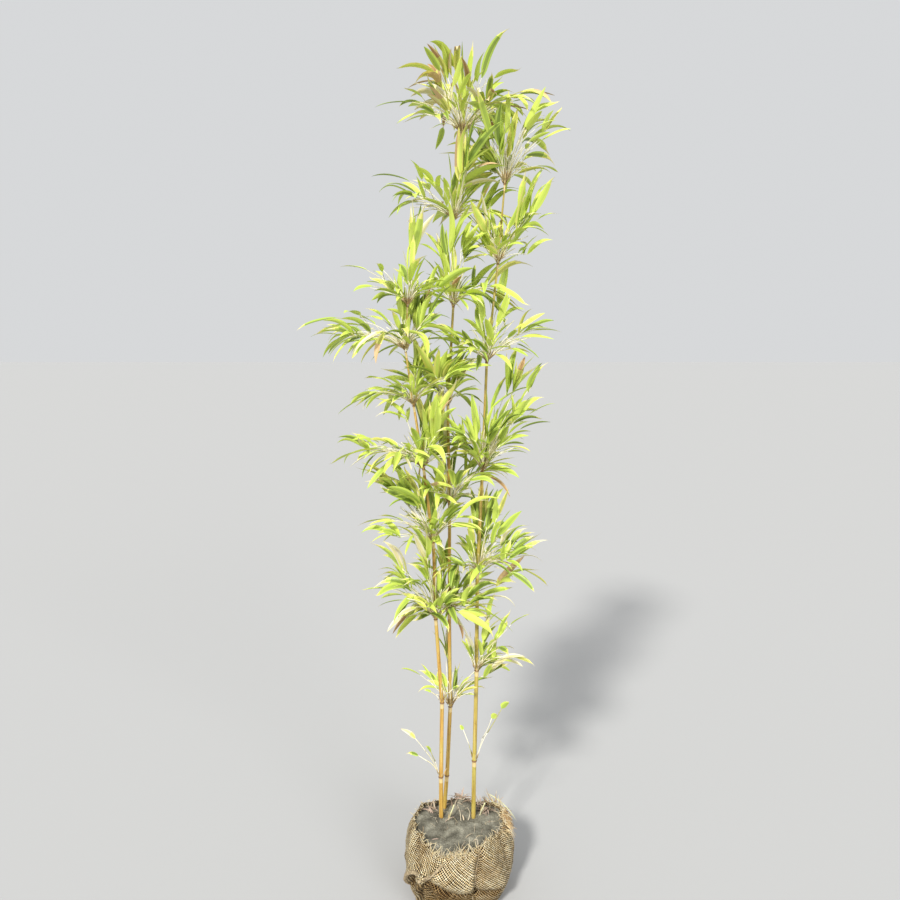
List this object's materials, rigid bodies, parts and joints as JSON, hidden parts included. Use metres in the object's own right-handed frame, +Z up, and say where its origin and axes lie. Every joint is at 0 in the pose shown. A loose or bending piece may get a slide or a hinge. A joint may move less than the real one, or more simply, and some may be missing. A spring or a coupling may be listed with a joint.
{
  "type": "bamboo plant on a burlap-wrapped root ball",
  "caption": "Young bamboo with slender golden culms and fans of long narrow leaves, standing on its burlap-wrapped root ball.",
  "frame": {"origin": "centre of the root ball's flat underside, on the floor", "axes": "+Z up along the culms, -Y to the front, +X to the right seen from the front"},
  "size_m": [0.6229, 0.4102, 2.0416],
  "materials": {
    "culm": "smooth golden-tan bamboo skin, satin",
    "foliage": "thin yellow-green leaves, some with pale dry tips",
    "burlap": "coarse open-weave jute cloth, matte",
    "soil": "grey-brown crumbly soil with fine pale roots, matte",
    "straw": "dry pale shoot stubs, matte"
  },
  "bodies": {
    "root": {"burlap_wrap": "burlap", "soil": "soil", "dry_shoot_left": "straw", "dry_shoot_right": "straw", "culm_left": "culm", "culm_middle": "culm", "culm_right": "culm", "tuft_left_1": "foliage", "tuft_left_2": "foliage", "tuft_left_3": "foliage", "tuft_left_4": "foliage", "tuft_left_5": "foliage", "tuft_left_6": "foliage", "tuft_left_7": "foliage", "tuft_left_8": "foliage", "tuft_middle_2": "foliage", "tuft_middle_3": "foliage", "tuft_middle_4": "foliage", "tuft_middle_5": "foliage", "tuft_middle_6": "foliage", "tuft_middle_7": "foliage", "tuft_middle_8": "foliage", "tuft_right_1": "foliage", "tuft_right_2": "foliage", "tuft_right_3": "foliage", "tuft_right_4": "foliage", "tuft_right_5": "foliage", "tuft_right_6": "foliage", "tuft_right_7": "foliage"}
  },
  "joints": []
}
